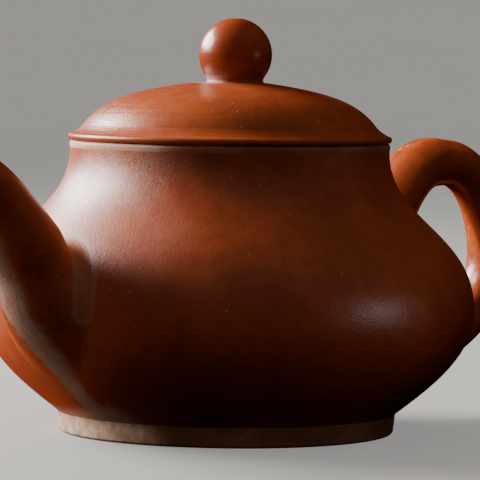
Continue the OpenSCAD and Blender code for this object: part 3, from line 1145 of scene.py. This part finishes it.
@dataclass
class Handle(Tube):
    """The solid loop opposite the spout. Sizes are in mm and degrees."""

    side: Side = Side.HANDLE
    root_z: float = 38.0
    rise: float = 63.5
    rise_run: float = 17.8
    root_d: float = 12.2
    top_x: float = 61.0
    top_z: float = 51.9
    top_run: float = 3.7
    top_d: float = 9.5
    reach_x: float = 75.7
    side_z: float = 32.3
    end_z: float = 12.0
    end_run: float = 20.0
    end_d: float = 8.9
    round_pull: float = 0.55
    steps: int = 200
    bunch: float = 1.4

    def __post_init__(self) -> None:
        """Work out the path: up, over the top, down the side and in to the belly."""
        root = self.on_wall(self.root_z, self.root_d)
        top = np.array([self.top_x, self.top_z, self.top_d])
        side = np.array([self.reach_x, self.side_z, (self.top_d + self.end_d) / 2])
        end = self.on_wall(self.end_z, self.end_d)
        thin = (self.root_d - self.top_d) / 3
        start = root - pull(self.root_d, self.rise)
        finish = end - pull(self.end_d, 0)
        up = root + pull(self.rise_run, self.rise, -thin)
        over = self.round_pull * (self.reach_x - self.top_x)
        down = self.round_pull * (self.top_z - self.side_z)
        under = self.round_pull * (self.side_z - self.end_z)
        self.path = [
            straight(start, root),
            [root, up, top - pull(self.top_run, 0, -thin), top],
            [top, top + pull(over, 0), side + pull(down, 90), side],
            [side, side - pull(under, 90), end + pull(self.end_run, 0), end],
            straight(end, finish),
        ]

    def loop(self) -> Piece:
        """The handle, closer stepped near its two joints.

        Returns:
            The piece.
        """
        even = np.linspace(0, 1, self.steps + 1)[:, None]
        from_root = (2 * even) ** self.bunch / 2
        from_end = np.maximum(0, 2 - 2 * even) ** self.bunch / 2
        share = np.where(even < 0.5, from_root, 1 - from_end)
        first = self.leaves_wall(0.0, 0.5)
        last = self.leaves_wall(1.0, 0.5)
        rings = self.luted(first + (last - first) * share)
        return ring_mesh("handle_loop", rings, self.lay(rings), is_loop=False)

    def build(self) -> list[Piece]:
        """Build and dress the handle."""
        return [dress(self.loop(), HANDLED, Ride.POT, "handle")]


@dataclass
class Lid:
    """The loose lid: edge, dome, collar and knob. Sizes are in mm and degrees."""

    body: PotBody
    over: float = 0.45
    edge: float = 1.3
    edge_round: float = 0.62
    edge_turn: float = 60.0
    rim_h: float = 3.0
    shoulder: float = 3.0
    sag: float = 0.3
    rise: float = 11.4
    dome_t: float = 2.8
    side_angle: float = 54.0
    side_run: float = 6.9
    top_run: float = 10.2
    top_angle: float = 8.0
    collar_h: float = 7.5
    collar_t: float = 2.3
    play: float = 0.3
    knob_r: float = 7.15
    neck_r: float = 5.55
    neck_h: float = 1.0
    neck_spread: float = 1.0
    neck_turn: float = 34.0
    neck_pulls: Pair = (1.2, 1.4)
    knob_off: float = 0.85
    knob_off_angle: float = -44.0
    vent_r: float = 1.1
    corner_lift: float = 0.2
    dome_steps: int = 96
    shoulder_steps: int = 24
    neck_steps: int = 32
    ball_steps: int = 72

    def __post_init__(self) -> None:
        """Work out the heights and radii that the pieces share."""
        self.base = self.body.mouth_z
        self.r = self.body.neck_r + self.over
        self.collar_r = self.body.mouth_r - self.play
        self.bore_r = self.collar_r - self.collar_t
        self.top = self.base + self.rise
        self.dome_foot = np.array([self.r - self.shoulder, self.base + self.rim_h])
        self.dome_top = np.array([self.neck_r + self.neck_spread + self.knob_off, self.top])
        self.ball_z = self.top + self.neck_h + math.sqrt(self.knob_r**2 - self.neck_r**2)
        self.knob_at = self.knob_off * aim(self.knob_off_angle)
        self.ball_end = np.array([0.0, self.ball_z]) + self.knob_r * aim(-self.neck_turn)

    def dome(self) -> Piece:
        """The domed plate, with the vent under the knob.

        Returns:
            The piece.
        """
        up = self.dome_foot + self.side_run * aim(180 - self.side_angle)
        over = self.dome_top + self.top_run * aim(-self.top_angle)
        outside = curve([self.dome_foot, up, over, self.dome_top], self.dome_steps)
        inside = moved_left(outside, self.dome_t)
        under = self.top - self.dome_t
        low = [np.interp(self.dome_foot[1], inside[:, 1], inside[:, 0]), self.dome_foot[1]]
        inside = inside[(inside[:, 1] > self.dome_foot[1]) & (inside[:, 1] < under)]
        vent = [[self.vent_r, self.top], [self.vent_r, under]]
        loop = joined(outside, vent, inside[::-1], [low])
        middles = np.where(loop[:, :1] < self.neck_r, self.knob_at, 0.0)
        return self.body.lathe.turn("lid_dome", loop, middles)

    def rim(self) -> Piece:
        """The ring that makes the lid's edge and its sloping shoulder.

        Returns:
            The piece.
        """
        r = self.edge_round
        upper = arc((self.r - r, self.base + self.edge - r), r, 0, self.edge_turn)
        start, above, below, end = straight(upper[-1], self.dome_foot)
        shoulder = [start, above - [0, self.sag], below - [0, self.sag], end]
        loop = joined(
            [[self.bore_r, self.base]],
            arc((self.r - r, self.base + r), r, -90, 0),
            upper,
            curve(shoulder, self.shoulder_steps),
            [[self.bore_r, self.dome_foot[1]]],
        )
        return self.body.lathe.turn("lid_edge", loop)

    def collar(self) -> Piece:
        """The collar that drops into the mouth.

        Returns:
            The piece.
        """
        low = self.base - self.collar_h
        r = self.collar_t / 4
        loop = joined(
            [[self.bore_r, self.base]],
            arc((self.bore_r + r, low + r), r, 180, 270),
            arc((self.collar_r - r, low + r), r, -90, 0),
            [[self.collar_r, self.base]],
        )
        return self.body.lathe.turn("lid_collar", loop)

    def knob_foot(self) -> Piece:
        """The short neck under the knob, in a hollow curve from the lid up into the ball.

        Returns:
            The piece.
        """
        foot = np.array([self.neck_r + self.neck_spread, self.top])
        low, high = self.neck_pulls
        into_ball = self.ball_end + high * aim(-90 - self.neck_turn)
        hollow = [foot, foot + low * aim(180), into_ball, self.ball_end]
        vent = [[self.vent_r, self.ball_end[1]], [self.vent_r, self.top]]
        loop = joined(curve(hollow, self.neck_steps), vent)
        return self.body.lathe.turn("knob_foot", loop, tuple(self.knob_at))

    def knob(self) -> Piece:
        """The ball, with the vent down through it.

        Returns:
            The piece.
        """
        last = math.degrees(math.acos(self.vent_r / self.knob_r))
        ball = arc((0.0, self.ball_z), self.knob_r, -self.neck_turn, last, self.ball_steps)
        loop = joined(ball, [[self.vent_r, self.ball_end[1]]])
        return self.body.lathe.turn("knob_ball", loop, tuple(self.knob_at))

    def corner(self) -> Run:
        """The pale residue in the corner between the lid and the knob's neck."""
        z = self.top + self.corner_lift
        return Run((-3.4, 5.0, z), (-6.2, -1.6, z), 3.4, 0.75, (0.52, 0.38, 0.29), 0.3)

    def build(self) -> list[Piece]:
        """Build and dress the lid's five pieces."""
        corner = (self.corner(),)
        return [
            dress(self.dome(), CLEAR, Ride.LID, "lid_cap", corner),
            dress(self.rim(), CLEAR, Ride.LID, "lid_rim"),
            dress(self.collar(), INSIDE, Ride.LID, "lid_flange"),
            dress(self.knob_foot(), WORN, Ride.LID, "knob_neck", corner),
            dress(self.knob(), POLISHED, Ride.LID, "knob"),
        ]


def dress_solids(nodes: tuple[str, ...] = ("base_disc", "strainer")) -> list[Piece]:
    """Finish the solids that show as they are.

    Args:
        nodes: Their names.

    Returns:
        The solids.
    """
    inside = INSIDE.material("floor_and_strainer_clay")
    solids = [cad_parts[node] for node in nodes]
    for solid in solids:
        solid.data.materials.clear()
        solid.data.materials.append(inside)
    return solids


def facing(place: Point, target: Point) -> Matrix:
    """The stand of a light or a camera that faces a target."""
    turned = (Vector(target) - Vector(place)).to_track_quat("-Z", "Y").to_matrix()
    return Matrix.Translation(place) @ turned.to_4x4()


@dataclass(frozen=True)
class SoftLight:
    """A soft light. Places and sizes are in metres, its power in watts, its spread in degrees."""

    name: str
    place: Point
    target: Point
    size: Pair
    power: float
    tone: Colour
    spread: float = 180.0
    is_mirrored: bool = True

    def hang(self) -> None:
        """Hang the light, facing its target, where the camera doesn't see it."""
        lamp = bpy.data.lights.new(self.name, "AREA")
        lamp.shape = "RECTANGLE"
        lamp.size, lamp.size_y = self.size
        lamp.energy = self.power
        lamp.color = self.tone
        lamp.spread = math.radians(self.spread)
        hung = bpy.data.objects.new(self.name, lamp)
        hung.matrix_world = facing(self.place, self.target)
        hung.visible_camera = False
        hung.visible_glossy = self.is_mirrored
        bpy.context.scene.collection.objects.link(hung)


POT_MIDDLE: Point = (0.00162, -0.00154, 0.03745)
DAYLIGHT: Colour = (1.0, 0.95, 0.90)
LAMPLIGHT: Colour = (1.0, 0.93, 0.86)
CLAY_GLOW: Colour = (1.0, 0.72, 0.55)
COOL: Colour = (0.94, 0.95, 1.0)


@dataclass
class Studio:
    """The pale floor, the soft lights and the camera. Places are in metres."""

    floor_tone: Colour = (0.24, 0.237, 0.230)
    floor_shade: float = 0.97
    floor_cloud: Pair = (0.3, 0.7)
    floor_shine: float = 1.1
    floor_rough: float = 0.85
    floor_gloss: float = 0.2
    floor_r: float = 2.5
    floor_gap: float = 0.0001
    floor_sides: int = 96
    sweep_r: float = 2.4
    sweep_steps: int = 32
    sky_tone: Colour = (0.70, 0.60, 0.52)
    sky_steps: tuple[Pair, ...] = ((0.49, 0.0), (0.52, 0.10), (0.63, 0.26), (0.88, 0.57))
    camera_at: Point = (-0.4750, -0.5005, 0.0750)
    camera_roll: float = 0.81
    lens: float = 264.4
    sensor: float = 36.0
    clip: Pair = (0.01, 100.0)
    lights: tuple[SoftLight, ...] = (
        SoftLight(
            "window", (-0.2215, 0.6345, 0.366), POT_MIDDLE, (0.60, 0.30), 26.0, DAYLIGHT
        ),
        SoftLight(
            "handle_beam", (-0.430, 0.214, 0.577), (0.058, 0.0, 0.045), (0.02, 0.02),
            0.0032, LAMPLIGHT, spread=3.0,
        ),
        SoftLight(
            "floor_glow", (-0.105, 0.075, 0.001), (-0.105, 0.075, 1.0), (0.14, 0.14),
            0.07, CLAY_GLOW, is_mirrored=False,
        ),
        SoftLight(
            "cool_fill", (0.445, -0.819, 0.132), (-0.004, -0.047, 0.024), (0.02, 0.02),
            0.00020, COOL, spread=2.4,
        ),
        SoftLight(
            "knob_glint", (0.445, -0.819, 0.095), (0.0, 0.0, 0.073), (0.035, 0.05),
            0.00009, COOL, spread=1.2,
        ),
    )

    def paper(self) -> bpy.types.Material:
        """The floor's finish, with a faint unevenness of tone.

        Returns:
            The material.
        """
        made = bpy.data.materials.new("floor_paper")
        wiring = Wiring(made)
        place = wiring.add("TexCoord").outputs["Object"]
        cloud = wiring.ramp(wiring.noise(place, PAPER), self.floor_cloud)
        shade = tuple(self.floor_shade * c for c in self.floor_tone)
        looks = {
            "Base Color": wiring.tint(cloud, shade, self.floor_tone),
            "Emission Color": self.floor_tone,
            "Emission Strength": self.floor_shine,
            "Roughness": self.floor_rough,
            "Specular IOR Level": self.floor_gloss,
        }
        wiring.end("Material", wiring.add("BsdfPrincipled", looks))
        return made

    def floor(self) -> None:
        """Lay the floor, which sweeps up far from the pot."""
        middle = (self.floor_r, self.sweep_r - self.floor_gap)
        sweep = arc(middle, self.sweep_r, -90, 0, self.sweep_steps)
        line = np.concatenate([[[self.floor_r / 2, -self.floor_gap]], sweep]) / MM
        floor = Lathe(self.floor_sides).turn("floor", line, is_loop=False)
        floor.data.shade_smooth()
        floor.data.materials.append(self.paper())
        floor.visible_diffuse = False
        floor.visible_glossy = False
        floor.visible_shadow = False

    def sky(self) -> None:
        """Set the even light from all round, stronger with height."""
        world = bpy.data.worlds.new("studio")
        wiring = Wiring(world)
        place = wiring.add("TexCoord").outputs["Generated"]
        height = wiring.add("SeparateXYZ", {0: place}).outputs[2]
        half = wiring.math("MULTIPLY_ADD", height, 0.5, 0.5)
        ramp = wiring.add("ValToRGB", {0: half})
        stops = ramp.color_ramp.elements
        stops.remove(stops[1])
        stops[0].position = 0.0
        for share, power in self.sky_steps:
            stops.new(share).color = (power, power, power, 1.0)
        light = {"Color": self.sky_tone, "Strength": ramp.outputs[0]}
        wiring.end("World", wiring.add("Background", light))
        bpy.context.scene.world = world
        world.cycles_visibility.glossy = False

    def camera(self) -> None:
        """Set the camera where the picture was taken from."""
        data = bpy.data.cameras.new("camera")
        data.lens = self.lens
        data.sensor_width = self.sensor
        data.clip_start, data.clip_end = self.clip
        camera = bpy.data.objects.new("camera", data)
        roll = Matrix.Rotation(math.radians(self.camera_roll), 4, "Z")
        camera.matrix_world = facing(self.camera_at, POT_MIDDLE) @ roll
        bpy.context.scene.collection.objects.link(camera)
        bpy.context.scene.camera = camera

    def build(self) -> None:
        """Set up the whole studio."""
        self.floor()
        self.sky()
        for light in self.lights:
            light.hang()
        self.camera()


def main() -> None:
    """Build the studio, the pot and the lid, and log each piece's count of faces."""
    logging.basicConfig(level=logging.INFO, format="%(name)s: %(message)s")
    Studio().build()
    body = PotBody()
    spout = Spout(body)
    pieces = body.build(spout) + spout.build() + Handle(body).build() + Lid(body).build()
    for piece in pieces + dress_solids():
        log.info("%s has %d faces", piece.name, len(piece.data.polygons))


if __name__ == "__main__":
    main()
